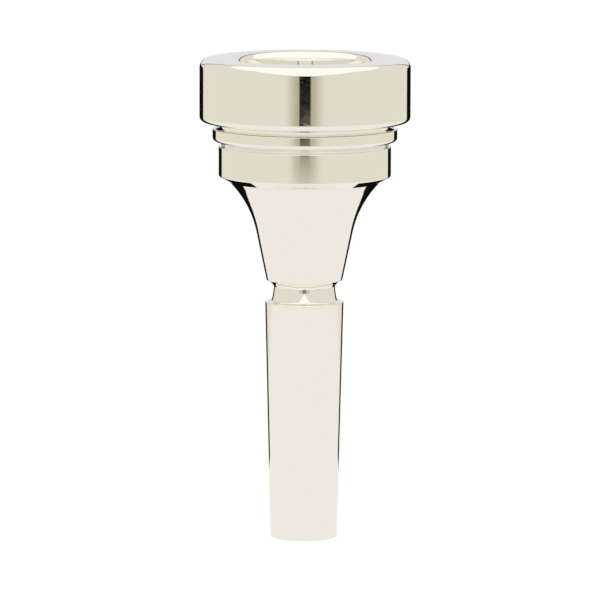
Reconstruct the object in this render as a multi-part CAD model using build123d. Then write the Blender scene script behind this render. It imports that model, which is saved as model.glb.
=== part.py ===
"""Cup mouthpiece for a large-shank low-brass instrument.

Three turned and silver-plated brass pieces screw together: a rim on a cup, and the cup on a
tapered shank. A rubber ring seals each screwed joint.

Millimetres. The axis is Z, and +Z points at the player. The origin is the centre of the tip.
Every outline is drawn with the radius along X and the height along Y, and turned about Z.
"""

from build123d import *
from math import asin, cos, radians, sin, tan
import os

# Shank and neck
SHANK_LENGTH = 43.75  # tip to shoulder
TIP_DIAMETER = 12.2
TIP_WALL = 0.9  # between the bore and the outside at the tip
TIP_ROUND = 0.4
TIP_INNER_CHAMFER = 0.2
SHANK_TAPER = 1 / 20  # on the diameter
SHOULDER_ROUND = 0.25
NECK_LENGTH = 2.75  # shoulder to the shank joint
NECK_FLARE = 0.45  # growth of the radius from the joint to the shoulder
NECK_LEAN = 0.08  # outward run over drop of the neck's side where it leaves the joint
NECK_FILLET = 0.5
BACKBORE_SAG = 0.15  # how far the bore's middle lies inside a straight cone

# Cup, from its foot up
FOOT_HEIGHT = 1.2
FOOT_OVERHANG = 1.37  # beyond the neck
FOOT_ROUND = 0.15
FOOT_STEEPNESS = 2.0  # rise over run of the foot's cove where it leaves the neck
CONE_HEIGHT = 8.8
CONE_ANGLE = 11.9  # degrees, between the cone's side and the axis
SWEEP_HEIGHT = 9.3  # concave stretch from the cone to the band's underside
BAND_CHAMFER_HEIGHT = 1.1
BAND_CHAMFER_WIDTH = 1.95
BAND_HEIGHT = 5.5
BAND_LOWER_ROUND = 0.3
BAND_UPPER_ROUND = 0.2
GROOVE_HEIGHT = 0.5  # half-round groove between band and bead
GROOVE_SETBACK = 0.3
BEAD_OVERHANG = 1.13  # beyond the band
BEAD_UNDERCUT_HEIGHT = 0.65
BEAD_HEIGHT = 2.05
BEAD_LOWER_ROUND = 0.7
BEAD_UPPER_ROUND = 0.15
BEAD_LEDGE_WIDTH = 0.25
COVE_HEIGHT = 1.0  # quarter-round cove from the ledge up to the rim joint

# Rim
RIM_HEIGHT = 12.0  # rim joint to crown
RIM_FACE_WIDTH = 6.55  # bite edge to the outside
RIM_UNDERSIDE_RISE = 0.32
RIM_LOWER_ROUND = 1.0
CROWN_SETBACK = 2.65  # bite edge to the highest circle
CROWN_BREAK_WIDTH = 2.5  # highest circle outwards to where the corner starts
CROWN_BREAK_DROP = 0.22
BITE_DIAMETER = 25.5
BITE_DEPTH = 1.2  # crown down to the bite edge
BITE_ROUND = 0.35

# Air way
BOWL_TAPER = 0.2  # loss of radius from the bite edge to the rim's seam
BOWL_UPPER_PULL = 0.66  # share of the bowl's height over which its side stays steep
BOWL_LOWER_PULL = 0.27  # share of the bowl's height over which it runs into the throat
THROAT_DIAMETER = 7.4
THROAT_LENGTH = 2.95  # the straight stretch inside the cup

# Threads, right-hand and 60 degrees
PITCH = 0.75
THREAD_DEPTH = 0.56 * PITCH
CREST_WIDTH = PITCH / 8
ROOT_SINK = PITCH / 20  # how far a ridge goes into its core
FLANK_ANGLE = 30.0  # degrees
THREAD_CLEARANCE = 0.08
RELIEF_HEIGHT = 0.3  # plain stretch before and after a thread
LEAD_CHAMFER = 0.25

# Rim joint: a collar on the cup, screwed into the rim
COLLAR_WALL = 1.93  # bowl to the root of the thread
COLLAR_LAND_STEP = 0.3  # land beyond the crest of the thread
COLLAR_LAND_HEIGHT = 2.9
COLLAR_TURNS = 5
RIM_SEAT_WIDTH = 0.45

# Shank joint: a spigot on the shank, screwed into the cup's socket
SPIGOT_WALL = 0.88  # bore to the root of the thread
SPIGOT_LAND_STEP = 0.1
SPIGOT_LAND_HEIGHT = 2.8
SPIGOT_TURNS = 6
SHANK_SEAT_WIDTH = 0.48

# Fits and sealing rings, the rings as squeezed in their glands
LAND_CLEARANCE = 0.05
END_GAP = 0.1  # past a collar or a spigot, so that its joint closes on the outer seat
RING_WIDTH = 1.0
RING_THICKNESS = 0.62
RING_ROUND = 0.25
RING_CLEARANCE = 0.02
GLAND_SIDE_GAP = 0.05
COLLAR_GLAND_HEIGHT = 1.2  # rim joint to the gland
SPIGOT_GLAND_HEIGHT = 1.5  # shank joint to the gland

# Heights of the faces, from the tip up
shank_joint_z = SHANK_LENGTH + NECK_LENGTH
spigot_land_z = shank_joint_z + SPIGOT_LAND_HEIGHT
spigot_thread_z = spigot_land_z + RELIEF_HEIGHT
spigot_thread_end_z = spigot_thread_z + SPIGOT_TURNS * PITCH
spigot_top_z = spigot_thread_end_z + LEAD_CHAMFER
throat_low_z = spigot_top_z + END_GAP
throat_high_z = throat_low_z + THROAT_LENGTH
foot_z = shank_joint_z + FOOT_HEIGHT
cone_top_z = foot_z + CONE_HEIGHT
sweep_top_z = cone_top_z + SWEEP_HEIGHT
band_low_z = sweep_top_z + BAND_CHAMFER_HEIGHT
band_high_z = band_low_z + BAND_HEIGHT
groove_top_z = band_high_z + GROOVE_HEIGHT
bead_low_z = groove_top_z + BEAD_UNDERCUT_HEIGHT
bead_high_z = bead_low_z + BEAD_HEIGHT
rim_joint_z = bead_high_z + COVE_HEIGHT
collar_land_z = rim_joint_z + COLLAR_LAND_HEIGHT
collar_thread_z = collar_land_z + RELIEF_HEIGHT
collar_thread_end_z = collar_thread_z + COLLAR_TURNS * PITCH
collar_top_z = collar_thread_end_z + LEAD_CHAMFER
rim_ceiling_z = collar_top_z + END_GAP
crown_z = rim_joint_z + RIM_HEIGHT
bite_z = crown_z - BITE_DEPTH

# Radii, from the air way outwards
throat_r = THROAT_DIAMETER / 2
spigot_core_r = throat_r + SPIGOT_WALL
spigot_thread_r = spigot_core_r + THREAD_DEPTH
spigot_land_r = spigot_thread_r + SPIGOT_LAND_STEP
neck_r = spigot_land_r + SHANK_SEAT_WIDTH
neck_low_r = neck_r + NECK_FLARE
foot_r = neck_r + FOOT_OVERHANG
cone_top_r = foot_r + CONE_HEIGHT * tan(radians(CONE_ANGLE))
tip_r = TIP_DIAMETER / 2
tip_bore_r = tip_r - TIP_WALL
shoulder_r = tip_r + SHANK_LENGTH * SHANK_TAPER / 2
bite_r = BITE_DIAMETER / 2
seam_r = bite_r - BOWL_TAPER
collar_core_r = seam_r + COLLAR_WALL
collar_thread_r = collar_core_r + THREAD_DEPTH
collar_land_r = collar_thread_r + COLLAR_LAND_STEP
rim_seat_r = collar_land_r + RIM_SEAT_WIDTH
cove_low_r = rim_seat_r + COVE_HEIGHT
bead_r = cove_low_r + BEAD_LEDGE_WIDTH
band_r = bead_r - BEAD_OVERHANG
groove_r = band_r - GROOVE_SETBACK
sweep_top_r = band_r - BAND_CHAMFER_WIDTH
crown_r = bite_r + CROWN_SETBACK
crown_break_r = crown_r + CROWN_BREAK_WIDTH
rim_r = bite_r + RIM_FACE_WIDTH


def turned(*outline):
    """Turns a closed outline about Z into a solid."""
    return revolve(Plane.XZ * make_face(outline), Axis.Z)


def turned_band(inner_r, outer_r, low_z, high_z):
    """Turns a plain rectangle about Z."""
    corners = [(inner_r, low_z), (outer_r, low_z), (outer_r, high_z), (inner_r, high_z)]
    return turned(Polyline(*corners, close=True))


def rounded(body, radius, height, amount):
    """Rounds the circular edge about Z that lies nearest to a radius and a height."""

    def distance(edge):
        return abs(edge.radius - radius) + abs(edge.arc_center.Z - height)

    nearest = min(body.edges().filter_by(GeomType.CIRCLE), key=distance)
    return fillet(nearest, amount)


def thread_ridge(crest_r, joint_z, low_z, high_z, growth=0.0):
    """The helical ridge of a thread between two heights.

    It is timed from the joint's height, so that a screw and its nut are always in step.
    growth moves the crest and both flanks outwards, for the ridge that cuts a nut's thread.
    """
    slope = tan(radians(FLANK_ANGLE))
    top_r = crest_r + growth
    root_r = top_r - THREAD_DEPTH - ROOT_SINK
    half_crest = CREST_WIDTH / 2 + growth * (1 / cos(radians(FLANK_ANGLE)) - slope)
    half_root = half_crest + (top_r - root_r) * slope
    start_z = joint_z + PITCH * (int((low_z - joint_z) / PITCH) - 1)
    section = Polyline(
        (root_r, start_z - half_root),
        (top_r, start_z - half_crest),
        (top_r, start_z + half_crest),
        (root_r, start_z + half_root),
        close=True,
    )
    path = Helix(PITCH, high_z - start_z + PITCH, root_r, center=(0, 0, start_z))
    ridge = sweep(Plane.XZ * make_face(section), path=path, is_frenet=True)
    return ridge & turned_band(root_r / 2, top_r + 1, low_z, high_z)


def socket_outline(core_r, thread_r, land_r, joint_z, gland_height, land_z, end_z, ceiling_z):
    """The inside of a screwed joint, from its mouth up: land, gland, thread root and relief."""
    mouth_r = land_r + LAND_CLEARANCE
    gland_r = land_r + RING_THICKNESS + 2 * RING_CLEARANCE
    gland_low_z = joint_z + gland_height
    gland_high_z = gland_low_z + RING_WIDTH + 2 * GLAND_SIDE_GAP
    nut_r = core_r + THREAD_CLEARANCE
    relief_r = thread_r + 2 * THREAD_CLEARANCE
    return [
        (mouth_r, joint_z),
        (mouth_r, gland_low_z),
        (gland_r, gland_low_z),
        (gland_r, gland_high_z),
        (mouth_r, gland_high_z),
        (mouth_r, land_z + RELIEF_HEIGHT / 2),
        (nut_r, land_z + RELIEF_HEIGHT / 2),
        (nut_r, end_z),
        (relief_r, end_z),
        (relief_r, ceiling_z),
    ]


def collar_cavity():
    """The outline of the rim's inside round the cup's collar."""
    return socket_outline(
        collar_core_r,
        collar_thread_r,
        collar_land_r,
        rim_joint_z,
        COLLAR_GLAND_HEIGHT,
        collar_land_z,
        collar_thread_end_z,
        rim_ceiling_z,
    )


def spigot_cavity():
    """The outline of the cup's socket round the shank's spigot."""
    return socket_outline(
        spigot_core_r,
        spigot_thread_r,
        spigot_land_r,
        shank_joint_z,
        SPIGOT_GLAND_HEIGHT,
        spigot_land_z,
        spigot_thread_end_z,
        throat_low_z,
    )


def tapped(body, thread_r, joint_z, land_z, end_z):
    """Cuts a nut's thread between its land and its relief, running out into both."""
    low_z = land_z + RELIEF_HEIGHT / 4
    high_z = end_z + LEAD_CHAMFER / 2
    return body - thread_ridge(thread_r, joint_z, low_z, high_z, THREAD_CLEARANCE)


def build_rim():
    """Band, crown and bite edge, with the threaded cavity for the cup's collar."""
    break_angle = 2 * asin(CROWN_BREAK_DROP / (CROWN_BREAK_WIDTH**2 + CROWN_BREAK_DROP**2) ** 0.5)
    break_z = crown_z - CROWN_BREAK_DROP
    corner_r = (rim_r - crown_break_r) / (1 - sin(break_angle))
    corner_z = break_z - corner_r * cos(break_angle)
    underside_z = rim_joint_z + RIM_UNDERSIDE_RISE
    cavity = collar_cavity()
    side = Polyline(cavity[0], (rim_seat_r, rim_joint_z), (rim_r, underside_z), (rim_r, corner_z))
    corner = TangentArc((rim_r, corner_z), (crown_break_r, break_z), tangent=(0, 1))
    crown_outer = TangentArc((crown_r, crown_z), (crown_break_r, break_z), tangent=(1, 0))
    crown_inner = TangentArc((crown_r, crown_z), (bite_r, bite_z), tangent=(-1, 0))
    inside = Polyline((bite_r, bite_z), (seam_r, rim_ceiling_z), *reversed(cavity))
    body = turned(side, corner, crown_outer, crown_inner, inside)
    body = rounded(body, rim_r, underside_z, RIM_LOWER_ROUND)
    body = rounded(body, bite_r, bite_z, BITE_ROUND)
    return tapped(body, collar_thread_r, rim_joint_z, collar_land_z, collar_thread_end_z)


def cup_side():
    """The cup's outside, from the shank joint up to the rim joint."""
    cone_way = (tan(radians(CONE_ANGLE)), 1)
    groove_bottom = (groove_r - GROOVE_HEIGHT / 2, (band_high_z + groove_top_z) / 2)
    foot_start, foot_corner = (neck_r, shank_joint_z), (foot_r, foot_z)
    cone_top, sweep_top = (cone_top_r, cone_top_z), (sweep_top_r, sweep_top_z)
    groove_low, groove_high = (groove_r, band_high_z), (groove_r, groove_top_z)
    cove_low, cove_high = (cove_low_r, bead_high_z), (rim_seat_r, rim_joint_z)
    return [
        TangentArc(foot_start, foot_corner, tangent=(1, FOOT_STEEPNESS)),
        Line(foot_corner, cone_top),
        TangentArc(cone_top, sweep_top, tangent=cone_way),
        Polyline(sweep_top, (band_r, band_low_z), (band_r, band_high_z), groove_low),
        ThreePointArc(groove_low, groove_bottom, groove_high),
        Polyline(groove_high, (bead_r, bead_low_z), (bead_r, bead_high_z), cove_low),
        TangentArc(cove_low, cove_high, tangent=(-1, 0)),
    ]


def bowl_side():
    """The bowl's inside, from the seam with the rim down to the throat."""
    height = collar_top_z - throat_high_z
    upper_drop = BOWL_UPPER_PULL * height
    upper_lean = upper_drop * BOWL_TAPER / (bite_z - rim_ceiling_z)
    return Bezier(
        (seam_r, collar_top_z),
        (seam_r - upper_lean, collar_top_z - upper_drop),
        (throat_r, throat_high_z + BOWL_LOWER_PULL * height),
        (throat_r, throat_high_z),
    )


def build_cup():
    """Bowl, bead, band and body, with a threaded collar above and a threaded socket below."""
    cavity = spigot_cavity()
    collar = Polyline(
        (rim_seat_r, rim_joint_z),
        (collar_land_r, rim_joint_z),
        (collar_land_r, collar_land_z),
        (collar_core_r, collar_land_z),
        (collar_core_r, collar_top_z - LEAD_CHAMFER),
        (collar_core_r - LEAD_CHAMFER, collar_top_z),
        (seam_r, collar_top_z),
    )
    bore = Polyline((throat_r, throat_high_z), (throat_r, throat_low_z), *reversed(cavity))
    seat = Line(cavity[0], (neck_r, shank_joint_z))
    body = turned(*cup_side(), collar, bowl_side(), bore, seat)
    body = rounded(body, foot_r, foot_z, FOOT_ROUND)
    body = rounded(body, band_r, band_low_z, BAND_LOWER_ROUND)
    body = rounded(body, band_r, band_high_z, BAND_UPPER_ROUND)
    body = rounded(body, bead_r, bead_low_z, BEAD_LOWER_ROUND)
    body = rounded(body, bead_r, bead_high_z, BEAD_UPPER_ROUND)
    ridge = thread_ridge(collar_thread_r, rim_joint_z, collar_thread_z, collar_thread_end_z)
    return tapped(body + ridge, spigot_thread_r, shank_joint_z, spigot_land_z, spigot_thread_end_z)


def build_shank():
    """Tip, taper, shoulder, neck and threaded spigot, with the backbore through them."""
    ledge = shoulder_r - neck_low_r
    bore_middle = ((throat_r + tip_bore_r) / 2 - BACKBORE_SAG, spigot_top_z / 2)
    taper = Polyline(
        (tip_bore_r, TIP_INNER_CHAMFER),
        (tip_bore_r + TIP_INNER_CHAMFER, 0),
        (tip_r, 0),
        (shoulder_r, SHANK_LENGTH),
        (neck_low_r, SHANK_LENGTH),
    )
    neck_top, neck_foot = (neck_r, shank_joint_z), (neck_low_r, SHANK_LENGTH)
    neck = TangentArc(neck_top, neck_foot, tangent=(NECK_LEAN, -1))
    spigot = Polyline(
        (neck_r, shank_joint_z),
        (spigot_land_r, shank_joint_z),
        (spigot_land_r, spigot_land_z),
        (spigot_core_r, spigot_land_z),
        (spigot_core_r, spigot_top_z - LEAD_CHAMFER),
        (spigot_core_r - LEAD_CHAMFER, spigot_top_z),
        (throat_r, spigot_top_z),
    )
    bore = ThreePointArc((throat_r, spigot_top_z), bore_middle, (tip_bore_r, TIP_INNER_CHAMFER))
    body = turned(taper, neck, spigot, bore)
    body = rounded(body, tip_r, 0, TIP_ROUND)
    body = rounded(body, shoulder_r, SHANK_LENGTH, min(SHOULDER_ROUND, ledge / 4))
    body = rounded(body, neck_low_r, SHANK_LENGTH, min(NECK_FILLET, ledge / 2))
    return body + thread_ridge(spigot_thread_r, shank_joint_z, spigot_thread_z, spigot_thread_end_z)


def build_ring(land_r, gland_z):
    """A rubber ring in its gland, squeezed to a rounded rectangle between land and gland."""
    inner_r = land_r + RING_CLEARANCE
    low_z = gland_z + GLAND_SIDE_GAP
    ring = turned_band(inner_r, inner_r + RING_THICKNESS, low_z, low_z + RING_WIDTH)
    return fillet(ring.edges().filter_by(GeomType.CIRCLE), RING_ROUND)


def write_parts():
    """Writes each piece to its own STEP file."""
    pieces = {
        "rim": build_rim(),
        "rim_o_ring": build_ring(collar_land_r, rim_joint_z + COLLAR_GLAND_HEIGHT),
        "cup": build_cup(),
        "shank_o_ring": build_ring(spigot_land_r, shank_joint_z + SPIGOT_GLAND_HEIGHT),
        "shank": build_shank(),
    }
    os.makedirs("parts", exist_ok=True)
    for name, piece in pieces.items():
        export_step(piece, f"parts/{name}.step")


write_parts()
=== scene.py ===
"""Finished look of a screw-together cup mouthpiece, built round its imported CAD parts.

The silvered pieces are turned from their outlines, their threads are wound along helices, and
both sealing rings are moulded in rubber. Metres; the axis is Z, and +Z points at the player.
"""

from dataclasses import dataclass
from math import atan2, ceil, cos, floor, pi, radians, sin, tan

import bmesh
import bpy
from bpy.props import FloatProperty, FloatVectorProperty, IntProperty, PointerProperty
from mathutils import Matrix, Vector


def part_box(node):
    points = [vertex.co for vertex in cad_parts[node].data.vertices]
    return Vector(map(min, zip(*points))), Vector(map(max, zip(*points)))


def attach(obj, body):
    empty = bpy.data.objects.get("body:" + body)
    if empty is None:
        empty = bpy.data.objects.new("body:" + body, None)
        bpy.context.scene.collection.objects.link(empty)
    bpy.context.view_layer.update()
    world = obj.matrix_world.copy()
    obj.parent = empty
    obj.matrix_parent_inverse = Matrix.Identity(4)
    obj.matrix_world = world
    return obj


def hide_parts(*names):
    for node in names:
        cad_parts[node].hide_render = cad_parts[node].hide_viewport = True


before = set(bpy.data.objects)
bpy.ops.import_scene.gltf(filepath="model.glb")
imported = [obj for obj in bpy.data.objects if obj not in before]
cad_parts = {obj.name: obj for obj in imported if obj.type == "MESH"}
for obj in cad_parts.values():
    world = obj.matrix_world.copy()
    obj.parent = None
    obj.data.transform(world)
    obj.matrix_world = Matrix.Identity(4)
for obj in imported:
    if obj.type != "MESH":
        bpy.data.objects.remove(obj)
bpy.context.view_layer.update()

bl_info = {
    "name": "Screw-together cup mouthpiece",
    "version": (1, 0, 0),
    "blender": (4, 5, 0),
    "location": "3D View > Sidebar > Mouthpiece",
    "description": "Turns a silver-plated cup mouthpiece with its threads, seals and studio",
    "category": "Add Mesh",
}

MM = 0.001
MERGE_DISTANCE = 0.0004 * MM
ARC_STEP = radians(2.5)
SUPPORT_STEP = 0.05 * MM  # how close to its ends a straight stretch gets an extra ring
EDGE_BREAK = 0.06 * MM  # the touch of emery that every visible edge has had
SHARP_ANGLE = radians(32)
FLANK_ANGLE = radians(30)
BOWL_STEPS = 48
END_WEAR = 0.4  # how much of a round's wear reaches its two ends
WEAR_LAYER = "edge_wear"
FOOT_WAY = (1, 2)  # how the foot's cove leaves the neck: radius, then height


def node_radius(node):
    """The largest radius of a CAD node."""
    return max(v.co.xy.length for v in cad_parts[node].data.vertices)


def node_low(node):
    """The lowest height of a CAD node."""
    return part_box(node)[0].z


def node_high(node):
    """The highest height of a CAD node."""
    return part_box(node)[1].z


# Sizes and finishes that a user may change


def length(name, description, millimetres):
    """A length property with its default in millimetres."""
    return FloatProperty(
        name=name,
        description=description,
        default=millimetres * MM,
        min=0.0,
        unit="LENGTH",
        precision=5,
    )


def angle(name, description, in_degrees):
    """An angle property with its default in degrees."""
    return FloatProperty(
        name=name, description=description, default=radians(in_degrees), subtype="ANGLE"
    )


def share(name, description, default):
    """A plain factor between nothing and all."""
    return FloatProperty(
        name=name, description=description, default=default, min=0.0, max=1.0, subtype="FACTOR"
    )


def colour(name, description, red, green, blue):
    """A colour property."""
    return FloatVectorProperty(
        name=name,
        description=description,
        default=(red, green, blue),
        min=0.0,
        max=1.0,
        size=3,
        subtype="COLOR",
    )


class RimSizes(bpy.types.PropertyGroup):
    """The rim that screws onto the cup."""

    bite_diameter: length("Bite diameter", "Inner edge that the lips feel", 25.5)
    bite_depth: length("Bite depth", "Crown down to the bite edge", 1.2)
    bite_round: length("Bite round", "Rounding of the bite edge", 0.35)
    crown_setback: length("Crown setback", "Bite edge to the highest circle", 2.65)
    break_width: length("Break width", "Highest circle out to the corner's start", 2.5)
    break_drop: length("Break drop", "Fall from the highest circle to the corner's start", 0.22)
    underside_rise: length("Underside rise", "Rise of the underside towards the band", 0.32)
    lower_round: length("Lower round", "Rounding under the band", 1.0)
    seat_width: length("Seat width", "Flat of the rim joint outside the bore", 0.45)


class CupSizes(bpy.types.PropertyGroup):
    """The cup, from its foot up to the collar."""

    foot_height: length("Foot height", "Shank joint up to the foot's edge", 1.2)
    foot_overhang: length("Foot overhang", "Foot beyond the neck", 1.37)
    foot_round: length("Foot round", "Rounding of the foot's edge", 0.15)
    cone_height: length("Cone height", "Straight cone above the foot", 8.8)
    cone_angle: angle("Cone angle", "Between the cone's side and the axis", 11.9)
    sweep_height: length("Sweep height", "Concave sweep from cone to band", 9.3)
    band_chamfer_height: length("Chamfer height", "Height of the chamfer under the band", 1.1)
    band_chamfer_width: length("Chamfer width", "Width of the chamfer under the band", 1.95)
    band_height: length("Band height", "Height of the plain band", 5.5)
    band_lower_round: length("Band lower round", "Rounding under the band", 0.3)
    band_upper_round: length("Band upper round", "Rounding over the band", 0.2)
    groove_height: length("Groove height", "Half-round groove above the band", 0.5)
    groove_setback: length("Groove setback", "How far the groove's lips lie inside the band", 0.3)
    bead_overhang: length("Bead overhang", "Bead beyond the band", 1.13)
    bead_undercut: length("Bead undercut", "Height of the slope under the bead", 0.65)
    bead_height: length("Bead height", "Height of the bead's side", 2.05)
    bead_lower_round: length("Bead lower round", "Rounding under the bead", 0.7)
    bead_upper_round: length("Bead upper round", "Rounding over the bead", 0.15)
    bead_ledge: length("Bead ledge", "Flat on top of the bead", 0.25)
    bowl_taper: length("Bowl taper", "Loss of radius from the bite to the rim's seam", 0.2)
    bowl_upper_pull: share("Bowl upper pull", "Share of its height where the bowl is steep", 0.66)
    bowl_lower_pull: share("Bowl lower pull", "Share of its height near the throat", 0.27)
    throat_diameter: length("Throat diameter", "Narrowest bore", 7.4)
    throat_length: length("Throat length", "Straight bore inside the cup", 2.95)


class ShankSizes(bpy.types.PropertyGroup):
    """The tapered shank with its shoulder and neck."""

    tip_diameter: length("Tip diameter", "Outside at the tip", 12.2)
    tip_wall: length("Tip wall", "Between the bore and the outside at the tip", 0.9)
    tip_round: length("Tip round", "Rounding of the tip's outer edge", 0.4)
    tip_chamfer: length("Tip chamfer", "Chamfer of the tip's inner edge", 0.2)
    neck_length: length("Neck length", "Shoulder up to the shank joint", 2.75)
    neck_flare: length("Neck flare", "Growth of the neck down to the shoulder", 0.45)
    neck_lean: share("Neck lean", "Run over drop of the neck's side at the joint", 0.08)
    neck_fillet: length("Neck fillet", "Fillet at the foot of the neck", 0.5)
    shoulder_round: length("Shoulder round", "Rounding of the shoulder's edge", 0.25)
    seat_width: length("Seat width", "Flat of the shank joint outside the land", 0.48)
    bore_sag: length("Bore sag", "How far the bore's middle lies inside a cone", 0.15)


class ThreadSizes(bpy.types.PropertyGroup):
    """Both right-hand threads, their lands and run-outs."""

    pitch: length("Pitch", "Rise in one turn", 0.75)
    depth: length("Depth", "Crest to root", 0.42)
    crest_width: length("Crest width", "Flat on the crest", 0.094)
    clearance: length("Clearance", "Between a screw's thread and its nut's", 0.08)
    relief_height: length("Relief height", "Plain stretch beside a thread", 0.3)
    lead_chamfer: length("Lead chamfer", "Chamfer where a thread starts", 0.25)
    collar_wall: length("Collar wall", "Bowl to the root of the collar's thread", 1.93)
    collar_land_step: length("Collar land step", "Land beyond the collar's crest", 0.3)
    collar_land: length("Collar land", "Height of the collar's plain land", 2.9)
    spigot_wall: length("Spigot wall", "Bore to the root of the spigot's thread", 0.88)
    spigot_land_step: length("Spigot land step", "Land beyond the spigot's crest", 0.1)
    spigot_land: length("Spigot land", "Height of the spigot's plain land", 2.8)
    land_clearance: length("Land clearance", "Between a land and its bore", 0.05)
    end_gap: length("End gap", "Past a collar or a spigot", 0.1)
    gland_gap: length("Gland gap", "Above and below a sealing ring", 0.05)
    gland_depth_gap: length("Gland depth gap", "Between a sealing ring and its gland", 0.02)
    segments: IntProperty(name="Segments", description="Facets round", default=192, min=24)


class SealSizes(bpy.types.PropertyGroup):
    """The rubber rings as squeezed in their glands."""

    thickness: length("Thickness", "Radial thickness", 0.62)
    corner_round: length("Corner round", "Rounding of the ring's corners", 0.25)


class FinishChoices(bpy.types.PropertyGroup):
    """Silver plate and rubber."""

    silver: colour("Silver", "Clean silver plate", 0.955, 0.935, 0.885)
    tarnish: colour("Tarnish", "Film that stays in corners", 0.80, 0.70, 0.52)
    tarnish_share: share("Tarnish share", "How much film the corners hold", 0.35)
    polish: share("Polish", "Roughness of the cleanest plate", 0.02)
    haze: share("Haze", "Roughness added by wiping marks", 0.04)
    turning_spacing: length("Turning spacing", "Between the tool's fine lines", 0.12)
    turning_depth: length("Turning depth", "Depth of the tool's fine lines", 0.00008)
    rubber: colour("Rubber", "Sealing rings", 0.018, 0.018, 0.019)


class StudioChoices(bpy.types.PropertyGroup):
    """Floor, light and camera."""

    camera_distance: length("Camera distance", "From the axis to the lens, level", 1080.0)
    camera_height: length("Camera height", "Lens above the floor", 186.0)
    aim_height: length("Aim height", "Height on the axis that the lens looks at", 43.9)
    aim_offset: length("Aim offset", "How far left of the axis the lens looks", 0.8)
    focal_length: FloatProperty(name="Focal length", description="In millimetres", default=356.1)
    camera_roll: angle("Camera roll", "Tilt of the lens about its own axis", 0.187)
    floor_width: length("Floor width", "Side to side", 700.0)
    floor_front: length("Floor front", "Floor towards the camera", 330.0)
    floor_back: length("Floor back", "Floor behind the mouthpiece", 74.0)
    paper: colour("Paper", "Floor as the plate mirrors it", 0.89, 0.87, 0.83)


class MouthpieceSettings(bpy.types.PropertyGroup):
    """Everything that the panel shows."""

    rim: PointerProperty(type=RimSizes)
    cup: PointerProperty(type=CupSizes)
    shank: PointerProperty(type=ShankSizes)
    thread: PointerProperty(type=ThreadSizes)
    seal: PointerProperty(type=SealSizes)
    finish: PointerProperty(type=FinishChoices)
    studio: PointerProperty(type=StudioChoices)


# Outlines: radius along X and height along Y, walked in order


@dataclass
class Station:
    """One point of an outline."""

    place: Vector
    straight: bool = True  # whether the stretch that ends here is straight
    wear: float = 0.0  # 1 on a rubbed edge, -1 in a corner that holds film


class Outline:
    """A turned outline made of straight stretches, arcs, curves and rounded corners."""

    def __init__(self, *start):
        self.stations = [Station(Vector(start))]
        self.rounds = []

    @property
    def end(self):
        """The last place so far."""
        return self.stations[-1].place

    def line(self, *places):
        """Straight stretches through the places."""
        self.stations.extend(Station(Vector(place)) for place in places)
        return self

    def soft(self, radius=EDGE_BREAK):
        """Rounds the corner at the last place, once its other side is drawn."""
        self.rounds.append((len(self.stations) - 1, radius))
        return self

    def bent(self, places):
        """Adds places along a curve."""
        self.stations.extend(Station(place, straight=False) for place in places)
        return self

    def arc(self, to, leaving):
        """An arc that leaves the last place along a direction."""
        return self.bent(arc_places(self.end, Vector(to), Vector(leaving)))

    def arc_into(self, to, arriving):
        """An arc that reaches its end along a direction."""
        back = arc_places(Vector(to), self.end, -Vector(arriving))
        return self.bent([*reversed(back[:-1]), Vector(to)])

    def arc_through(self, middle, to):
        """An arc through a middle place."""
        first, last = self.end - Vector(middle), Vector(to) - Vector(middle)
        turn = pi - signed_angle(first, last) % (2 * pi)
        chord = Vector(to) - self.end
        return self.arc(to, turned(chord, turn))

    def bezier(self, first_handle, last_handle, to, steps):
        """A cubic curve."""
        spots = [self.end, Vector(first_handle), Vector(last_handle), Vector(to)]
        return self.bent(cubic(spots, step / steps) for step in range(1, steps + 1))

    def finished(self):
        """The stations with their corners rounded and an extra ring beside each bend."""
        for index, radius in reversed(self.rounds):
            self.round_corner(index, radius)
        supported = [self.stations[0]]
        for station in self.stations[1:]:
            before = supported[-1].place
            way = station.place - before
            if station.straight and way.length > 5 * SUPPORT_STEP:
                step = way.normalized() * SUPPORT_STEP
                supported += [Station(before + step), Station(station.place - step)]
            supported.append(station)
        return supported

    def round_corner(self, index, radius):
        """Replaces a corner by a round that touches both of its sides."""
        corner = self.stations[index].place
        into = corner - self.stations[index - 1].place
        out = self.stations[index + 1].place - corner
        turn = signed_angle(into, out)
        reach = radius * abs(tan(turn / 2))
        first, start, into = self.walk(index, reach, -1)
        last, end, out = self.walk(index, reach, 1)
        turn = signed_angle(into, out)
        across = end - start
        handle = start + into * (across.cross(out) / into.cross(out))
        steps = max(3, ceil(abs(turn) / ARC_STEP / 2))
        wear = max(0.0, 1.0 - radius / MM) * (1.0 if turn > 0 else -1.0)
        made = [Station(start, self.stations[first + 1].straight, END_WEAR * wear)]
        for step in range(1, steps):
            place = round_place(start, handle, end, cos(turn / 2), step / steps)
            made.append(Station(place, False, wear))
        made.append(Station(end, False, END_WEAR * wear))
        self.stations[first + 1 : last] = made

    def walk(self, index, reach, way):
        """Follows the outline from a corner: station reached, place and forward direction."""
        left = reach
        while True:
            here, there = self.stations[index].place, self.stations[index + way].place
            gap = (there - here).length
            forward = (there - here).normalized() * way
            if gap > left:
                return index + way, here + forward * way * left, forward
            left -= gap
            index += way


def signed_angle(first, last):
    """The turn from one direction to another, positive to the left."""
    return atan2(first.cross(last), first.dot(last))


def turned(direction, turn):
    """A direction turned to the left."""
    return Vector(
        (
            direction.x * cos(turn) - direction.y * sin(turn),
            direction.x * sin(turn) + direction.y * cos(turn),
        )
    )


def arc_places(start, end, leaving):
    """Places along the arc that leaves its start along a direction."""
    chord = end - start
    turn = 2 * signed_angle(leaving, chord)
    steps = max(2, ceil(abs(turn) / ARC_STEP))
    reach = chord.length / sin(turn / 2)
    places = []
    for step in range(1, steps):
        part = turn * step / steps / 2
        places.append(start + turned(leaving.normalized(), part) * reach * sin(part))
    return [*places, end]


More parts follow.
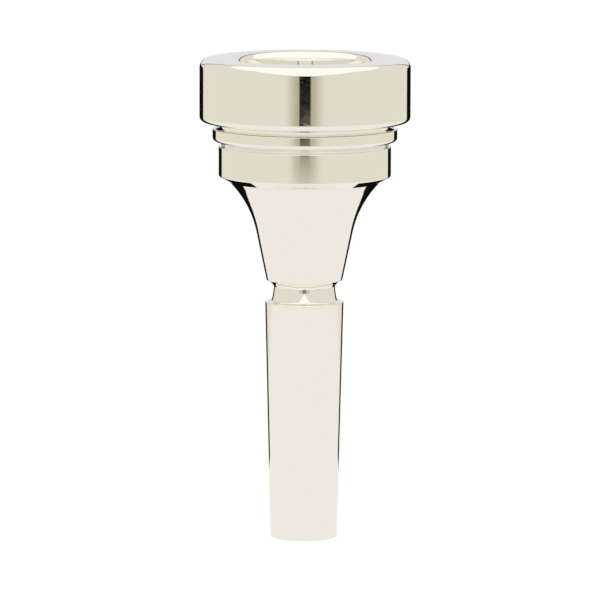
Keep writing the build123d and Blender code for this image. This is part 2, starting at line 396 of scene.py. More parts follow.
def cubic(spots, part):
    """A place on a cubic curve."""
    rest = 1 - part
    weights = (rest**3, 3 * rest**2 * part, 3 * rest * part**2, part**3)
    return sum((spot * weight for spot, weight in zip(spots, weights)), Vector((0, 0)))


def round_place(start, handle, end, weight, part):
    """A place on the round between two tangents that meet at the handle."""
    first, middle, last = (1 - part) ** 2, 2 * weight * part * (1 - part), part**2
    return (start * first + handle * middle + end * last) / (first + middle + last)


# Heights and radii that several pieces share


class Layout:
    """Heights and radii worked out from the CAD boxes and the sizes."""

    def __init__(self, sizes):
        rim, cup, shank, thread = sizes.rim, sizes.cup, sizes.shank, sizes.thread
        self.rim_joint, self.crown = node_low("rim"), node_high("rim")
        self.shank_joint, self.collar_top = node_low("cup"), node_high("cup")
        self.spigot_top = node_high("shank")
        self.rim_radius = node_radius("rim")
        self.bead_radius = node_radius("cup")
        self.shoulder_radius = node_radius("shank")

        self.spigot_land_top = self.shank_joint + thread.spigot_land
        self.spigot_thread_low = self.spigot_land_top + thread.relief_height
        self.spigot_thread_high = self.spigot_top - thread.lead_chamfer
        self.throat_low = self.spigot_top + thread.end_gap
        self.throat_high = self.throat_low + cup.throat_length
        self.collar_land_top = self.rim_joint + thread.collar_land
        self.collar_thread_low = self.collar_land_top + thread.relief_height
        self.collar_thread_high = self.collar_top - thread.lead_chamfer
        self.rim_ceiling = self.collar_top + thread.end_gap
        self.bite = self.crown - rim.bite_depth

        self.throat_radius = cup.throat_diameter / 2
        self.spigot_core = self.throat_radius + thread.spigot_wall
        self.spigot_crest = self.spigot_core + thread.depth
        self.spigot_land = self.spigot_crest + thread.spigot_land_step
        self.neck_radius = self.spigot_land + shank.seat_width
        self.bite_radius = rim.bite_diameter / 2
        self.seam_radius = self.bite_radius - cup.bowl_taper
        self.collar_core = self.seam_radius + thread.collar_wall
        self.collar_crest = self.collar_core + thread.depth
        self.collar_land = self.collar_crest + thread.collar_land_step
        self.rim_seat = self.collar_land + rim.seat_width
        self.band_radius = self.bead_radius - cup.bead_overhang


def nut_mouth(place, sizes, joint, land_radius, land_top, seal):
    """The lower half of a nut's inside, from its thread down to its mouth."""
    thread = sizes.thread
    bore = land_radius + thread.land_clearance
    gland = land_radius + sizes.seal.thickness + 2 * thread.gland_depth_gap
    gland_low = node_low(seal) - thread.gland_gap
    gland_high = node_high(seal) + thread.gland_gap
    low = land_top + thread.relief_height / 2
    root = place + thread.clearance
    outline = Outline(root, low).line((bore, low), (bore, gland_high), (gland, gland_high))
    outline.line((gland, gland_low), (bore, gland_low), (bore, joint)).soft()
    return outline


def rim_outline(sizes):
    """The rim from its nut thread's low end, round the outside, to the thread's high end."""
    at, rim, thread = Layout(sizes), sizes.rim, sizes.thread
    underside = at.rim_joint + rim.underside_rise
    break_radius = at.bite_radius + rim.crown_setback + rim.break_width
    break_height = at.crown - rim.break_drop
    lean = 2 * atan2(rim.break_drop, rim.break_width)
    corner_radius = (at.rim_radius - break_radius) / (1 - sin(lean))
    corner_height = break_height - corner_radius * cos(lean)
    outline = nut_mouth(
        at.collar_crest, sizes, at.rim_joint, at.collar_land, at.collar_land_top, "rim_o_ring"
    )
    outline.line((at.rim_seat, at.rim_joint)).soft()
    outline.line((at.rim_radius, underside)).soft(rim.lower_round)
    outline.line((at.rim_radius, corner_height))
    outline.arc((break_radius, break_height), leaving=(0, 1))
    outline.arc_into((at.bite_radius + rim.crown_setback, at.crown), arriving=(-1, 0))
    outline.arc((at.bite_radius, at.bite), leaving=(-1, 0)).soft(rim.bite_round)
    outline.line((at.seam_radius, at.rim_ceiling)).soft()
    relief = at.collar_crest + 2 * thread.clearance
    root = at.collar_crest + thread.clearance
    outline.line((relief, at.rim_ceiling), (relief, at.collar_thread_high))
    outline.line((root, at.collar_thread_high))
    return outline


def cup_outside(sizes):
    """The cup from its socket thread's low end, up the outside, to the collar thread's low end."""
    at, cup = Layout(sizes), sizes.cup
    foot = at.shank_joint + cup.foot_height
    foot_radius = at.neck_radius + cup.foot_overhang
    cone_top = foot + cup.cone_height
    cone_radius = foot_radius + cup.cone_height * tan(cup.cone_angle)
    sweep_top = cone_top + cup.sweep_height
    band_low = sweep_top + cup.band_chamfer_height
    band_high = band_low + cup.band_height
    groove_radius = at.band_radius - cup.groove_setback
    groove_top = band_high + cup.groove_height
    groove_bottom = (groove_radius - cup.groove_height / 2, (band_high + groove_top) / 2)
    bead_low = groove_top + cup.bead_undercut
    bead_high = bead_low + cup.bead_height
    cove_radius = at.bead_radius - cup.bead_ledge
    outline = nut_mouth(
        at.spigot_crest, sizes, at.shank_joint, at.spigot_land, at.spigot_land_top, "shank_o_ring"
    )
    outline.line((at.neck_radius, at.shank_joint)).soft(EDGE_BREAK / 2)
    outline.arc((foot_radius, foot), leaving=FOOT_WAY).soft(cup.foot_round)
    outline.line((cone_radius, cone_top))
    sweep_radius = at.band_radius - cup.band_chamfer_width
    cone_way = (sin(cup.cone_angle), cos(cup.cone_angle))
    outline.arc((sweep_radius, sweep_top), leaving=cone_way).soft()
    outline.line((at.band_radius, band_low)).soft(cup.band_lower_round)
    outline.line((at.band_radius, band_high)).soft(cup.band_upper_round)
    outline.line((groove_radius, band_high)).soft()
    outline.arc_through(groove_bottom, (groove_radius, groove_top)).soft()
    outline.line((at.bead_radius, bead_low)).soft(cup.bead_lower_round)
    outline.line((at.bead_radius, bead_high)).soft(cup.bead_upper_round)
    outline.line((cove_radius, bead_high)).soft()
    outline.arc((at.rim_seat, at.rim_joint), leaving=(-1, 0)).soft(EDGE_BREAK / 2)
    outline.line((at.collar_land, at.rim_joint))
    outline.line((at.collar_land, at.collar_land_top)).soft()
    outline.line((at.collar_core, at.collar_land_top), (at.collar_core, at.collar_thread_low))
    return outline


def cup_inside(sizes):
    """The cup from its collar thread's high end, down the bowl, to its socket's high end."""
    at, cup, thread = Layout(sizes), sizes.cup, sizes.thread
    height = at.collar_top - at.throat_high
    upper_drop = cup.bowl_upper_pull * height
    upper_lean = upper_drop * cup.bowl_taper / (at.bite - at.rim_ceiling)
    socket_root = at.spigot_crest + thread.clearance
    relief = at.spigot_crest + 2 * thread.clearance
    outline = Outline(at.collar_core, at.collar_thread_high)
    outline.line((at.collar_core - thread.lead_chamfer, at.collar_top)).soft()
    outline.line((at.seam_radius, at.collar_top)).soft()
    outline.bezier(
        (at.seam_radius - upper_lean, at.collar_top - upper_drop),
        (at.throat_radius, at.throat_high + cup.bowl_lower_pull * height),
        (at.throat_radius, at.throat_high),
        steps=BOWL_STEPS,
    )
    outline.line((at.throat_radius, at.throat_low)).soft()
    outline.line((relief, at.throat_low), (relief, at.spigot_thread_high))
    outline.line((socket_root, at.spigot_thread_high))
    return outline


def shank_outline(sizes):
    """The shank from its thread's high end, down the bore, up the outside, to the low end."""
    at, shank, thread = Layout(sizes), sizes.shank, sizes.thread
    tip_radius = shank.tip_diameter / 2
    tip_bore = tip_radius - shank.tip_wall
    shoulder = at.shank_joint - shank.neck_length
    neck_low = at.neck_radius + shank.neck_flare
    bore_middle = ((at.throat_radius + tip_bore) / 2 - shank.bore_sag, at.spigot_top / 2)
    outline = Outline(at.spigot_core, at.spigot_thread_high)
    outline.line((at.spigot_core - thread.lead_chamfer, at.spigot_top)).soft()
    outline.line((at.throat_radius, at.spigot_top)).soft()
    outline.arc_through(bore_middle, (tip_bore, shank.tip_chamfer)).soft()
    outline.line((tip_bore + shank.tip_chamfer, 0)).soft()
    outline.line((tip_radius, 0)).soft(shank.tip_round)
    outline.line((at.shoulder_radius, shoulder)).soft(shank.shoulder_round)
    outline.line((neck_low, shoulder)).soft(shank.neck_fillet)
    neck_top = (at.neck_radius, at.shank_joint)
    outline.arc_into(neck_top, arriving=(-shank.neck_lean, 1)).soft(EDGE_BREAK / 2)
    outline.line((at.spigot_land, at.shank_joint))
    outline.line((at.spigot_land, at.spigot_land_top)).soft()
    outline.line((at.spigot_core, at.spigot_land_top), (at.spigot_core, at.spigot_thread_low))
    return outline


def seal_outline(sizes, seal):
    """A ring's section, a rectangle with round corners that starts and ends on a side."""
    outer, low, high = node_radius(seal), node_low(seal), node_high(seal)
    inner, middle = outer - sizes.seal.thickness, (low + high) / 2
    outline = Outline(outer, middle)
    for corner in ((outer, high), (inner, high), (inner, low), (outer, low)):
        outline.line(corner).soft(sizes.seal.corner_round)
    return outline.line((outer, middle))


def thread_section(sizes, crest, nut):
    """One pitch of a thread, crest and root, for a screw or for its nut."""
    thread = sizes.thread
    flank = thread.depth * tan(FLANK_ANGLE)
    half_crest = thread.crest_width / 2
    if nut:
        crest += thread.clearance
        half_crest += thread.clearance * (1 / cos(FLANK_ANGLE) - tan(FLANK_ANGLE))
    root = crest - thread.depth
    return [
        (crest, -half_crest),
        (crest, half_crest),
        (root, half_crest + flank),
        (root, thread.pitch - half_crest - flank),
    ]


# Node trees


class Bench:
    """A node tree in the making."""

    def __init__(self, tree):
        self.tree = tree

    def add(self, kind, inputs=(), **settings):
        """A node with its settings and its inputs, each a number or another node's output."""
        node = self.tree.nodes.new(kind)
        for name, value in settings.items():
            setattr(node, name, value)
        for socket, value in dict(inputs).items():
            self.feed(node.inputs[socket], value)
        return node

    def feed(self, socket, value):
        """Links another node's output to a socket, or sets its value."""
        if isinstance(value, bpy.types.NodeSocket):
            self.tree.links.new(value, socket)
        else:
            socket.default_value = value

    def math(self, operation, *values, clamp=False):
        """The result of a math node."""
        node = self.add(
            "ShaderNodeMath", dict(enumerate(values)), operation=operation, use_clamp=clamp
        )
        return node.outputs[0]


def named_tree(name, inputs):
    """A geometry tree with a Geometry input and output and the named inputs."""
    tree = bpy.data.node_groups.new(name, "GeometryNodeTree")
    tree.interface.new_socket("Geometry", in_out="INPUT", socket_type="NodeSocketGeometry")
    for title, kind in inputs:
        tree.interface.new_socket(title, in_out="INPUT", socket_type=kind)
    tree.interface.new_socket("Geometry", in_out="OUTPUT", socket_type="NodeSocketGeometry")
    return tree


def rows_and_turns(bench, rows, segments):
    """A grid with a row index along X and an angle along Y: its mesh, both fields."""
    last = bench.math("SUBTRACT", rows, 1)
    grid = bench.add(
        "GeometryNodeMeshGrid",
        {
            "Size X": last,
            "Size Y": 2 * pi,
            "Vertices X": rows,
            "Vertices Y": bench.math("ADD", segments, 1),
        },
    )
    place = bench.add(
        "ShaderNodeSeparateXYZ", {0: bench.add("GeometryNodeInputPosition").outputs[0]}
    )
    row = bench.math("ROUND", bench.math("ADD", place.outputs["X"], bench.math("DIVIDE", last, 2)))
    turn = bench.math("ADD", place.outputs["Y"], pi)
    return grid.outputs["Mesh"], row, turn


def close_up(bench, mesh, radius, height, turn, wear, material):
    """Wraps a grid round the axis, merges its seam, and hands it to the group's output."""
    spot = bench.add("ShaderNodeCombineXYZ", {"X": radius, "Z": height})
    wrapped = bench.add(
        "ShaderNodeVectorRotate", {"Vector": spot.outputs[0], "Angle": turn}, rotation_type="Z_AXIS"
    )
    kept = bench.add(
        "GeometryNodeStoreNamedAttribute",
        {"Geometry": mesh, "Name": WEAR_LAYER, "Value": wear},
        data_type="FLOAT",
        domain="POINT",
    )
    moved = bench.add(
        "GeometryNodeSetPosition",
        {"Geometry": kept.outputs[0], "Position": wrapped.outputs[0]},
    )
    merged = bench.add(
        "GeometryNodeMergeByDistance", {"Geometry": moved.outputs[0], "Distance": MERGE_DISTANCE}
    )
    real = bench.add("GeometryNodeRealizeInstances", {"Geometry": merged.outputs[0]})
    finished = bench.add(
        "GeometryNodeSetMaterial", {"Geometry": real.outputs[0], "Material": material}
    )
    bench.add("NodeGroupOutput", {"Geometry": finished.outputs[0]})


def sampled(bench, geometry, field, kind, index):
    """A field of the incoming outline at an index."""
    node = bench.add(
        "GeometryNodeSampleIndex",
        {"Geometry": geometry, "Value": field, "Index": index},
        data_type=kind,
        domain="POINT",
    )
    return node.outputs[0]


def lathe_tree():
    """Turns the incoming outline round the axis."""
    tree = named_tree(
        "lathe", [("Segments", "NodeSocketInt"), ("Material", "NodeSocketMaterial")]
    )
    bench = Bench(tree)
    given = bench.add("NodeGroupInput").outputs
    rows = bench.add("GeometryNodeAttributeDomainSize", {"Geometry": given["Geometry"]})
    mesh, row, turn = rows_and_turns(bench, rows.outputs["Point Count"], given["Segments"])
    position = bench.add("GeometryNodeInputPosition").outputs[0]
    place = bench.add(
        "ShaderNodeSeparateXYZ",
        {0: sampled(bench, given["Geometry"], position, "FLOAT_VECTOR", row)},
    )
    layer = bench.add("GeometryNodeInputNamedAttribute", {"Name": WEAR_LAYER}, data_type="FLOAT")
    wear = sampled(bench, given["Geometry"], layer.outputs["Attribute"], "FLOAT", row)
    close_up(
        bench, mesh, place.outputs["X"], place.outputs["Z"], turn, wear, given["Material"]
    )
    return tree


def thread_tree():
    """Winds the incoming section of one pitch up a helix, fading out at both ends."""
    tree = named_tree(
        "thread",
        [
            ("Pitch", "NodeSocketFloat"),
            ("Start", "NodeSocketFloat"),
            ("Low", "NodeSocketFloat"),
            ("High", "NodeSocketFloat"),
            ("Run-out radius", "NodeSocketFloat"),
            ("Segments", "NodeSocketInt"),
            ("Material", "NodeSocketMaterial"),
        ],
    )
    bench = Bench(tree)
    given = bench.add("NodeGroupInput").outputs
    points = bench.add("GeometryNodeAttributeDomainSize", {"Geometry": given["Geometry"]})
    points = points.outputs["Point Count"]
    reach = bench.math("SUBTRACT", given["High"], given["Start"])
    span = bench.math("DIVIDE", reach, given["Pitch"])
    turns = bench.math("ADD", bench.math("CEIL", span), 2)
    rows = bench.math("MULTIPLY", turns, points)
    mesh, row, turn = rows_and_turns(bench, rows, given["Segments"])
    position = bench.add("GeometryNodeInputPosition").outputs[0]
    within = bench.math("MODULO", row, points)
    place = bench.add(
        "ShaderNodeSeparateXYZ",
        {0: sampled(bench, given["Geometry"], position, "FLOAT_VECTOR", within)},
    )
    whole = bench.math("FLOOR", bench.math("DIVIDE", bench.math("ADD", row, 0.5), points))
    part = bench.math("DIVIDE", turn, 2 * pi)
    rise = bench.math("MULTIPLY", bench.math("ADD", whole, part), given["Pitch"])
    height = bench.math("ADD", bench.math("ADD", rise, given["Start"]), place.outputs["Z"])
    height = bench.math("MAXIMUM", bench.math("MINIMUM", height, given["High"]), given["Low"])
    to_end = bench.math(
        "MINIMUM",
        bench.math("SUBTRACT", height, given["Low"]),
        bench.math("SUBTRACT", given["High"], height),
    )
    fade = bench.math("DIVIDE", to_end, bench.math("DIVIDE", given["Pitch"], 2), clamp=True)
    depth = bench.math("SUBTRACT", place.outputs["X"], given["Run-out radius"])
    radius = bench.math("MULTIPLY_ADD", depth, fade, given["Run-out radius"])
    close_up(bench, mesh, radius, height, turn, 0.0, given["Material"])
    return tree


# Making a piece


def outline_object(name, stations):
    """A chain of points that carries an outline into a geometry tree."""
    mesh = bpy.data.meshes.new(name)
    places = [(station.place.x, 0, station.place.y) for station in stations]
    mesh.from_pydata(places, [(k, k + 1) for k in range(len(places) - 1)], [])
    layer = mesh.attributes.new(WEAR_LAYER, "FLOAT", "POINT")
    layer.data.foreach_set("value", [station.wear for station in stations])
    return bpy.data.objects.new(name, mesh)


def made_by(tree, carrier, settings):
    """The plain mesh that a tree makes of an object; the object is thrown away."""
    bpy.context.scene.collection.objects.link(carrier)
    modifier = carrier.modifiers.new(tree.name, "NODES")
    modifier.node_group = tree
    for item in tree.interface.items_tree:
        if item.item_type == "SOCKET" and item.name in settings:
            modifier[item.identifier] = settings[item.name]
    evaluated = carrier.evaluated_get(bpy.context.evaluated_depsgraph_get())
    mesh = bpy.data.meshes.new_from_object(evaluated)
    carrier.modifiers.remove(modifier)
    bpy.data.objects.remove(carrier)
    return mesh


def turned_strip(outline, sizes, material):
    """The surface that an outline leaves when it is turned."""
    settings = {"Segments": sizes.thread.segments, "Material": material}
    return made_by(TREES["lathe"], outline_object("outline", outline.finished()), settings)


def wound_thread(section, joint, low, high, run_out, sizes, material):
    """The surface of a thread between two heights, timed from its joint."""
    pitch = sizes.thread.pitch
    settings = {
        "Pitch": pitch,
        "Start": joint + pitch * (floor((low - joint) / pitch) - 1),
        "Low": low,
        "High": high,
        "Run-out radius": run_out,
        "Segments": sizes.thread.segments,
        "Material": material,
    }
    stations = [Station(Vector(place)) for place in section]
    return made_by(TREES["thread"], outline_object("section", stations), settings)


def whole_piece(name, meshes, node, body, material):
    """Joins the surfaces of one piece into a closed shell that stands for its CAD node."""
    shell = bmesh.new()
    for mesh in meshes:
        shell.from_mesh(mesh)
        bpy.data.meshes.remove(mesh)
    bmesh.ops.remove_doubles(shell, verts=shell.verts, dist=MERGE_DISTANCE)
    bmesh.ops.dissolve_degenerate(shell, edges=shell.edges, dist=MERGE_DISTANCE / 4)
    bmesh.ops.recalc_face_normals(shell, faces=shell.faces)
    open_edges = [edge for edge in shell.edges if not edge.is_manifold]
    if open_edges:
        raise RuntimeError(f"{name} has {len(open_edges)} open edges")
    for face in shell.faces:
        face.smooth = True
    for edge in shell.edges:
        edge.smooth = edge.calc_face_angle() < SHARP_ANGLE
    mesh = bpy.data.meshes.new(name)
    shell.to_mesh(mesh)
    shell.free()
    mesh.materials.clear()
    mesh.materials.append(material)
    piece = bpy.data.objects.new(name, mesh)
    bpy.context.scene.collection.objects.link(piece)
    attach(piece, body)
    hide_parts(node)
    return piece


# Finishes, with the scales of their noises in waves per metre

WIPING_SCALE = 90.0
HAIRLINE_SCALE = 260.0
HAIRLINE_SHARPNESS = 160.0
HAIRLINE_DEPTH = 0.3  # against the turning lines
HAIRLINE_ROUGHNESS = 0.04
RUBBED_ROUGHNESS = 0.05
GRAIN_SCALE = 2500.0
GRAIN_DEPTH = 0.02 * MM
BLOOM_SCALE = 300.0
BLOOM_LIFT = 2.2  # how much paler the rubber's bloom is


def hairlines(bench, spot, scale):
    """Fine curved scratches, 1 on a scratch and 0 off it."""
    field = bench.add(
        "ShaderNodeTexNoise", {"Vector": spot, "Scale": scale, "Detail": 1.0, "Distortion": 0.6}
    ).outputs["Fac"]
    off = bench.math("ABSOLUTE", bench.math("SUBTRACT", field, 0.5))
    return bench.math("SUBTRACT", 1.0, bench.math("MULTIPLY", off, HAIRLINE_SHARPNESS, clamp=True))


def turning_lines(bench, spot, spacing):
    """A level that only changes along the outline, as a fine tool leaves it."""
    place = bench.add("ShaderNodeSeparateXYZ", {0: spot}).outputs
    squares = bench.math("MULTIPLY", place["Y"], place["Y"])
    radius = bench.math("SQRT", bench.math("MULTIPLY_ADD", place["X"], place["X"], squares))
    along = bench.math("DIVIDE", bench.math("SUBTRACT", radius, place["Z"]), spacing)
    return bench.add(
        "ShaderNodeTexNoise", {"W": along, "Scale": 1.0, "Detail": 2.0}, noise_dimensions="1D"
    ).outputs["Fac"]


def silver_plate(finish):
    """Polished silver plate: wiping marks, turning lines, hairlines, rubbed edges, film."""
    material = bpy.data.materials.new("silver_plate")
    material.use_nodes = True
    bench = Bench(material.node_tree)
    shader = material.node_tree.nodes["Principled BSDF"]
    shader.inputs["Metallic"].default_value = 1.0
    spot = bench.add("ShaderNodeTexCoord").outputs["Object"]
    wear = bench.add("ShaderNodeAttribute", attribute_name=WEAR_LAYER).outputs["Fac"]
    wiping = bench.add(
        "ShaderNodeTexNoise",
        {"Vector": spot, "Scale": WIPING_SCALE, "Detail": 5.0, "Roughness": 0.6},
    ).outputs["Fac"]
    scratches = hairlines(bench, spot, HAIRLINE_SCALE)
    film = bench.math("MULTIPLY", bench.math("MULTIPLY", wear, -1, clamp=True), wiping)
    film = bench.math("MULTIPLY", film, 2 * finish.tarnish_share, clamp=True)
    tint = bench.add("ShaderNodeMix", {"Factor": film}, data_type="RGBA")
    bench.feed(tint.inputs[6], (*finish.silver, 1))
    bench.feed(tint.inputs[7], (*finish.tarnish, 1))
    bench.feed(shader.inputs["Base Color"], tint.outputs[2])
    span = {"To Min": finish.polish, "To Max": finish.polish + finish.haze}
    marks = bench.add(
        "ShaderNodeMapRange", {"Value": wiping, "From Min": 0.35, "From Max": 0.75, **span}
    ).outputs[0]
    rubbed = bench.math("MULTIPLY", bench.math("MULTIPLY", wear, 1, clamp=True), RUBBED_ROUGHNESS)
    scored = bench.math("MULTIPLY_ADD", scratches, HAIRLINE_ROUGHNESS, rubbed)
    bench.feed(shader.inputs["Roughness"], bench.math("ADD", marks, scored))
    lines = turning_lines(bench, spot, finish.turning_spacing)
    relief = bench.math("MULTIPLY_ADD", scratches, -HAIRLINE_DEPTH, lines)
    bump = bench.add(
        "ShaderNodeBump",
        {"Strength": 1.0, "Distance": finish.turning_depth, "Height": relief},
    )
    bench.feed(shader.inputs["Normal"], bump.outputs[0])
    return material


def seal_rubber(finish):
    """Matt black rubber with a fine moulded grain."""
    material = bpy.data.materials.new("seal_rubber")
    material.use_nodes = True
    bench = Bench(material.node_tree)
    shader = material.node_tree.nodes["Principled BSDF"]
    spot = bench.add("ShaderNodeTexCoord").outputs["Object"]
    grain = bench.add("ShaderNodeTexNoise", {"Vector": spot, "Scale": GRAIN_SCALE, "Detail": 4.0})
    bloom = bench.add("ShaderNodeTexNoise", {"Vector": spot, "Scale": BLOOM_SCALE, "Detail": 3.0})
    tint = bench.add("ShaderNodeMix", {"Factor": bloom.outputs["Fac"]}, data_type="RGBA")
    bench.feed(tint.inputs[6], (*finish.rubber, 1))
    bench.feed(tint.inputs[7], (*(BLOOM_LIFT * part for part in finish.rubber), 1))
    bench.feed(shader.inputs["Base Color"], tint.outputs[2])
    dull = bench.add(
        "ShaderNodeMapRange", {"Value": grain.outputs["Fac"], "To Min": 0.5, "To Max": 0.75}
    )
    bench.feed(shader.inputs["Roughness"], dull.outputs[0])
    bump = bench.add(
        "ShaderNodeBump",
        {"Strength": 0.25, "Distance": GRAIN_DEPTH, "Height": grain.outputs["Fac"]},
    )
    bench.feed(shader.inputs["Normal"], bump.outputs[0])
    return material


MADE = {}
TREES = {}


def finish_named(name, settings):
    """A finish that is made when a piece first asks for it."""
    makers = {"silver_plate": silver_plate, "seal_rubber": seal_rubber}
    if name not in MADE:
        MADE[name] = makers[name](settings.finish)
    return MADE[name]


# Operators


class MOUTHPIECE_OT_rim(bpy.types.Operator):
    """Turns the rim and cuts the thread inside it"""

    bl_idname = "mouthpiece.rim"
    bl_label = "Rim"

    def execute(self, context):
        sizes = context.scene.mouthpiece
        at, plate = Layout(sizes), finish_named("silver_plate", sizes)
        thread = wound_thread(
            thread_section(sizes, at.collar_crest, nut=True),
            at.rim_joint,
            at.collar_land_top + sizes.thread.relief_height / 2,
            at.collar_thread_high,
            at.collar_crest + sizes.thread.clearance,
            sizes,
            plate,
        )
        body = turned_strip(rim_outline(sizes), sizes, plate)
        whole_piece("turned_rim", [body, thread], "rim", "rim", plate)
        return {"FINISHED"}


class MOUTHPIECE_OT_cup(bpy.types.Operator):
    """Turns the cup, with the thread on its collar and the thread in its socket"""

    bl_idname = "mouthpiece.cup"
    bl_label = "Cup"

    def execute(self, context):
        sizes = context.scene.mouthpiece
        at, plate = Layout(sizes), finish_named("silver_plate", sizes)
        collar = wound_thread(
            thread_section(sizes, at.collar_crest, nut=False),
            at.rim_joint,
            at.collar_thread_low,
            at.collar_thread_high,
            at.collar_core,
            sizes,
            plate,
        )
        socket = wound_thread(
            thread_section(sizes, at.spigot_crest, nut=True),
            at.shank_joint,
            at.spigot_land_top + sizes.thread.relief_height / 2,
            at.spigot_thread_high,
            at.spigot_crest + sizes.thread.clearance,
            sizes,
            plate,
        )
        outside = turned_strip(cup_outside(sizes), sizes, plate)
        inside = turned_strip(cup_inside(sizes), sizes, plate)
        meshes = [outside, inside, collar, socket]
        whole_piece("turned_cup", meshes, "cup", "cup", plate)
        return {"FINISHED"}


class MOUTHPIECE_OT_shank(bpy.types.Operator):
    """Turns the shank with the thread on its spigot"""

    bl_idname = "mouthpiece.shank"
    bl_label = "Shank"

    def execute(self, context):
        sizes = context.scene.mouthpiece
        at, plate = Layout(sizes), finish_named("silver_plate", sizes)
        thread = wound_thread(
            thread_section(sizes, at.spigot_crest, nut=False),
            at.shank_joint,
            at.spigot_thread_low,
            at.spigot_thread_high,
            at.spigot_core,
            sizes,
            plate,
        )
        body = turned_strip(shank_outline(sizes), sizes, plate)
        whole_piece("turned_shank", [body, thread], "shank", "shank", plate)
        return {"FINISHED"}


class MOUTHPIECE_OT_seals(bpy.types.Operator):
    """Moulds both sealing rings"""

    bl_idname = "mouthpiece.seals"
    bl_label = "Sealing rings"

    def execute(self, context):
        sizes = context.scene.mouthpiece
        rubber = finish_named("seal_rubber", sizes)
        for node, body in (("rim_o_ring", "rim_seal"), ("shank_o_ring", "shank_seal")):
            ring = turned_strip(seal_outline(sizes, node), sizes, rubber)
            whole_piece(f"moulded_{node}", [ring], node, body, rubber)
        return {"FINISHED"}


class MOUTHPIECE_OT_stage(bpy.types.Operator):
    """Sets the floor, the light and the camera"""

    bl_idname = "mouthpiece.stage"
    bl_label = "Stage"

    def execute(self, context):
        studio = context.scene.mouthpiece.studio
        context.scene.view_settings.view_transform = "Standard"
        lay_floor(studio)
        light_studio()
        place_camera(studio)
        return {"FINISHED"}


# Stage


def lay_floor(studio):
    """A plain sheet of pale paper that ends close behind the mouthpiece."""
    half, front, back = studio.floor_width / 2, -studio.floor_front, studio.floor_back
    mesh = bpy.data.meshes.new("floor")
    corners = [(-half, front, 0), (half, front, 0), (half, back, 0), (-half, back, 0)]
    mesh.from_pydata(corners, [], [(0, 1, 2, 3)])
    floor_sheet = bpy.data.objects.new("floor", mesh)
    bpy.context.scene.collection.objects.link(floor_sheet)
    mesh.materials.append(bright_paper(studio))


def bright_paper(studio):
    """Paper lit to plain white, and a little softer in what mirrors it."""
    material = bpy.data.materials.new("bright_paper")
    material.use_nodes = True
    bench = Bench(material.node_tree)
    nodes = material.node_tree.nodes
    nodes.remove(nodes["Principled BSDF"])
    seen = bench.add("ShaderNodeLightPath").outputs["Is Camera Ray"]
    white = bench.add("ShaderNodeEmission", {"Color": (1, 1, 1, 1)})
    soft = bench.add("ShaderNodeEmission", {"Color": (*studio.paper, 1)})
    both = bench.add("ShaderNodeMixShader", {0: seen, 1: soft.outputs[0], 2: white.outputs[0]})
    bench.feed(nodes["Material Output"].inputs["Surface"], both.outputs[0])
    return material


@dataclass
class Card:
    """A light or dark card round the set, in degrees from the camera's side and above level."""

    colour: tuple
    side: tuple  # from and to, the same left and right
    level: tuple  # from and to
    side_fade: float = 1.0
    level_fade: float = 1.0
    lift: float = 0.0  # how much the lower edge climbs in a degree of side


WHITE = (1.05, 1.04, 1.0)
CREAM = (0.768, 0.757, 0.653)
DARK = (0.004, 0.004, 0.003)
ALL_ROUND = (-20, 200)
HIGH_CARDS = (
    Card(WHITE, (-20, 76), (7.0, 95), 3, 1, 0.55),
    Card(WHITE, ALL_ROUND, (44, 95), 1, 1),
    Card((0.89, 0.87, 0.83), (30, 160), (-95, -9), 6, 1),
)
LOW_CARDS = (
    Card(DARK, (148, 200), (-95, 2), 1, 1),
    Card((0.95, 0.95, 0.95), (176, 200), (-13, -1), 1, 1),
    Card((0.79, 0.79, 0.79), (176, 200), (-1, 3), 1, 0.5),
    Card((0.45, 0.43, 0.31), (-20, 15), (-6.35, 6.5), 18, 0.3),
    Card(DARK, (-20, 6.2), (-6.05, 6.5), 1.5, 0.15),
)
BACK_LIGHT = (0.79, 0.79, 0.79)
BACK_LIGHT_RISE = 0.325  # height over depth of the direction to its middle
BACK_LIGHT_EDGE = 0.9643  # where it ends, as depth + rise * height
SEAM_WIDTH = 0.019  # of the dark seam round it
SEAM_FADE = 0.005


def step_up(bench, value, edge, fade):
    """0 below an edge and 1 above it, with a soft step between."""
    low, high = bench.math("SUBTRACT", edge, fade / 2), bench.math("ADD", edge, fade / 2)
    node = bench.add(
        "ShaderNodeMapRange",
        {"Value": value, "From Min": low, "From Max": high},
        interpolation_type="SMOOTHSTEP",
    )
    return node.outputs[0]


def covers(bench, card, side, level):
    """How much of a direction a card covers."""
    lower = bench.math("MULTIPLY_ADD", side, card.lift, card.level[0])
    parts = (
        step_up(bench, side, card.side[0], card.side_fade),
        step_up(bench, bench.math("MULTIPLY", side, -1), -card.side[1], card.side_fade),
        step_up(bench, bench.math("SUBTRACT", level, lower), 0.0, card.level_fade),
        step_up(bench, bench.math("MULTIPLY", level, -1), -card.level[1], card.level_fade),
    )
    cover = parts[0]
    for part in parts[1:]:
        cover = bench.math("MULTIPLY", cover, part)
    return cover


def laid_over(bench, shade, cover, colour):
    """A shade with another laid over it."""
    mix = bench.add("ShaderNodeMix", {"Factor": cover}, data_type="RGBA")
    bench.feed(mix.inputs[6], shade)
    bench.feed(mix.inputs[7], (*colour, 1))
    return mix.outputs[2]


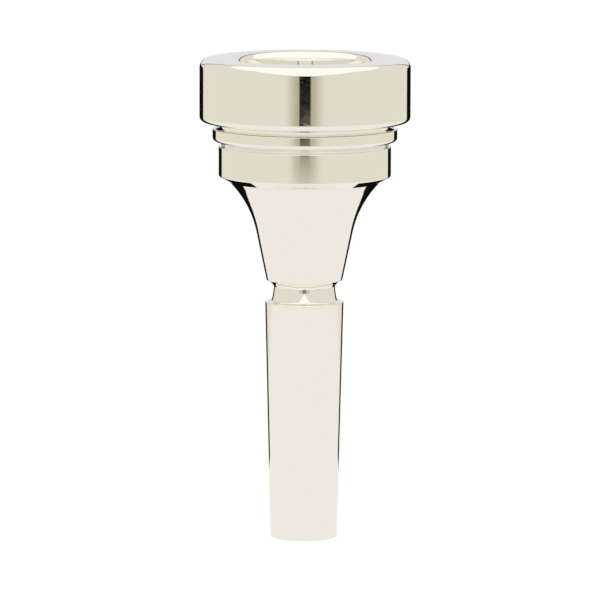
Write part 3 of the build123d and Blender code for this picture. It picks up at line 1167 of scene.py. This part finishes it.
def light_studio():
    """White all round to the eye, and the studio's cards in everything that mirrors."""
    world = bpy.data.worlds.new("studio")
    bpy.context.scene.world = world
    world.use_nodes = True
    bench = Bench(world.node_tree)
    way = bench.add(
        "ShaderNodeSeparateXYZ", {0: bench.add("ShaderNodeTexCoord").outputs["Generated"]}
    ).outputs
    forward = bench.math("MULTIPLY", way["Y"], -1)
    side = bench.math("ABSOLUTE", bench.math("ARCTAN2", way["X"], forward))
    side = bench.math("DEGREES", side)
    level = bench.math("DEGREES", bench.math("ARCSINE", way["Z"]))
    shade = (*CREAM, 1)
    for card in HIGH_CARDS:
        shade = laid_over(bench, shade, covers(bench, card, side, level), card.colour)
    behind = bench.math("MULTIPLY_ADD", way["Z"], BACK_LIGHT_RISE, way["Y"])
    seam = step_up(bench, behind, BACK_LIGHT_EDGE - SEAM_WIDTH, SEAM_FADE)
    shade = laid_over(bench, shade, seam, DARK)
    back_light = step_up(bench, behind, BACK_LIGHT_EDGE, SEAM_FADE)
    shade = laid_over(bench, shade, back_light, BACK_LIGHT)
    for card in LOW_CARDS:
        shade = laid_over(bench, shade, covers(bench, card, side, level), card.colour)
    seen = bench.add("ShaderNodeLightPath").outputs["Is Camera Ray"]
    shade = laid_over(bench, shade, seen, (1, 1, 1))
    bench.feed(world.node_tree.nodes["Background"].inputs["Color"], shade)


def place_camera(studio):
    """A long lens on the front, level with the paper and looking down a little."""
    lens = bpy.data.cameras.new("camera")
    camera = bpy.data.objects.new("camera", lens)
    bpy.context.scene.collection.objects.link(camera)
    aim = Vector((-studio.aim_offset, 0, studio.aim_height))
    camera.location = (-studio.aim_offset, -studio.camera_distance, studio.camera_height)
    camera.rotation_euler = (aim - camera.location).to_track_quat("-Z", "Y").to_euler()
    camera.rotation_euler.rotate_axis("Z", studio.camera_roll)
    lens.lens = studio.focal_length
    lens.clip_end = 10.0
    bpy.context.scene.camera = camera


class MOUTHPIECE_PT_panel(bpy.types.Panel):
    """Sizes, finishes and one button for each piece"""

    bl_idname = "MOUTHPIECE_PT_panel"
    bl_label = "Cup mouthpiece"
    bl_space_type = "VIEW_3D"
    bl_region_type = "UI"
    bl_category = "Mouthpiece"

    def draw(self, context):
        settings = context.scene.mouthpiece
        for name in ("rim", "cup", "shank", "thread", "seal", "finish", "studio"):
            group = getattr(settings, name)
            box = self.layout.box()
            box.label(text=name.capitalize())
            for key in group.__annotations__:
                box.prop(group, key)
        for operator in OPERATORS:
            self.layout.operator(operator.bl_idname)


OPERATORS = (
    MOUTHPIECE_OT_shank,
    MOUTHPIECE_OT_cup,
    MOUTHPIECE_OT_rim,
    MOUTHPIECE_OT_seals,
    MOUTHPIECE_OT_stage,
)

CLASSES = (
    RimSizes,
    CupSizes,
    ShankSizes,
    ThreadSizes,
    SealSizes,
    FinishChoices,
    StudioChoices,
    MouthpieceSettings,
    *OPERATORS,
    MOUTHPIECE_PT_panel,
)


def register():
    """Adds the settings, the operators and the panel."""
    for each in CLASSES:
        bpy.utils.register_class(each)
    bpy.types.Scene.mouthpiece = PointerProperty(type=MouthpieceSettings)


def unregister():
    """Takes them away again."""
    del bpy.types.Scene.mouthpiece
    for each in reversed(CLASSES):
        bpy.utils.unregister_class(each)


def main():
    """Builds every piece and the stage."""
    register()
    TREES.update(lathe=lathe_tree(), thread=thread_tree())
    bpy.ops.mouthpiece.shank()
    bpy.ops.mouthpiece.cup()
    bpy.ops.mouthpiece.rim()
    bpy.ops.mouthpiece.seals()
    bpy.ops.mouthpiece.stage()


if __name__ == "__main__":
    main()
